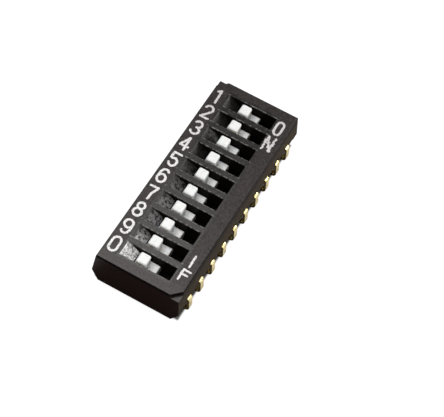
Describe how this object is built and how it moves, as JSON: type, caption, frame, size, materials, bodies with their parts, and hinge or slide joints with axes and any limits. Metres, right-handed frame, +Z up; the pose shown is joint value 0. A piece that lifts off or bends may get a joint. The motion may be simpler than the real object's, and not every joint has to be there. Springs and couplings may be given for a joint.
{
  "type": "dip switch",
  "caption": "Slide DIP switch: a black moulded body with a row of ramped windows, white sliders and two rows of gold J-shaped leads.",
  "frame": {"origin": "centre of the row, on the plane that the leads stand on", "axes": "+Z up, out of the top face; +Y along the row, towards switch 1; +X across it, towards the ON side"},
  "size_m": [0.0112, 0.028, 0.005],
  "materials": {
    "housing_black": "moulded black thermoplastic, matt with a slight sheen",
    "slider_white": "white moulded plastic",
    "gold_plate": "gold-plated copper alloy strip",
    "contact_strip": "gold-plated spring strip"
  },
  "bodies": {
    "housing": {"cover": "housing_black", "base": "housing_black", "terminal_left_1": "gold_plate", "terminal_right_1": "gold_plate", "terminal_left_2": "gold_plate", "terminal_right_2": "gold_plate", "terminal_left_3": "gold_plate", "terminal_right_3": "gold_plate", "terminal_left_4": "gold_plate", "terminal_right_4": "gold_plate", "terminal_left_5": "gold_plate", "terminal_right_5": "gold_plate", "terminal_left_6": "gold_plate", "terminal_right_6": "gold_plate", "terminal_left_7": "gold_plate", "terminal_right_7": "gold_plate", "terminal_left_8": "gold_plate", "terminal_right_8": "gold_plate", "terminal_left_9": "gold_plate", "terminal_right_9": "gold_plate", "terminal_left_10": "gold_plate", "terminal_right_10": "gold_plate"},
    "switch_1": {"slider_1": "slider_white", "contact_spring_1": "contact_strip"},
    "switch_2": {"slider_2": "slider_white", "contact_spring_2": "contact_strip"},
    "switch_3": {"slider_3": "slider_white", "contact_spring_3": "contact_strip"},
    "switch_4": {"slider_4": "slider_white", "contact_spring_4": "contact_strip"},
    "switch_5": {"slider_5": "slider_white", "contact_spring_5": "contact_strip"},
    "switch_6": {"slider_6": "slider_white", "contact_spring_6": "contact_strip"},
    "switch_7": {"slider_7": "slider_white", "contact_spring_7": "contact_strip"},
    "switch_8": {"slider_8": "slider_white", "contact_spring_8": "contact_strip"},
    "switch_9": {"slider_9": "slider_white", "contact_spring_9": "contact_strip"},
    "switch_10": {"slider_10": "slider_white", "contact_spring_10": "contact_strip"}
  },
  "joints": [
    {"name": "slide_1", "type": "slide", "parent": "housing", "child": "switch_1", "axis": [1, 0, 0], "range_m": [0, 0.0018]},
    {"name": "slide_2", "type": "slide", "parent": "housing", "child": "switch_2", "axis": [1, 0, 0], "range_m": [0, 0.0018]},
    {"name": "slide_3", "type": "slide", "parent": "housing", "child": "switch_3", "axis": [1, 0, 0], "range_m": [0, 0.0018]},
    {"name": "slide_4", "type": "slide", "parent": "housing", "child": "switch_4", "axis": [1, 0, 0], "range_m": [0, 0.0018]},
    {"name": "slide_5", "type": "slide", "parent": "housing", "child": "switch_5", "axis": [1, 0, 0], "range_m": [0, 0.0018]},
    {"name": "slide_6", "type": "slide", "parent": "housing", "child": "switch_6", "axis": [1, 0, 0], "range_m": [0, 0.0018]},
    {"name": "slide_7", "type": "slide", "parent": "housing", "child": "switch_7", "axis": [1, 0, 0], "range_m": [0, 0.0018]},
    {"name": "slide_8", "type": "slide", "parent": "housing", "child": "switch_8", "axis": [1, 0, 0], "range_m": [0, 0.0018]},
    {"name": "slide_9", "type": "slide", "parent": "housing", "child": "switch_9", "axis": [1, 0, 0], "range_m": [0, 0.0018]},
    {"name": "slide_10", "type": "slide", "parent": "housing", "child": "switch_10", "axis": [1, 0, 0], "range_m": [0, 0.0018]}
  ]
}
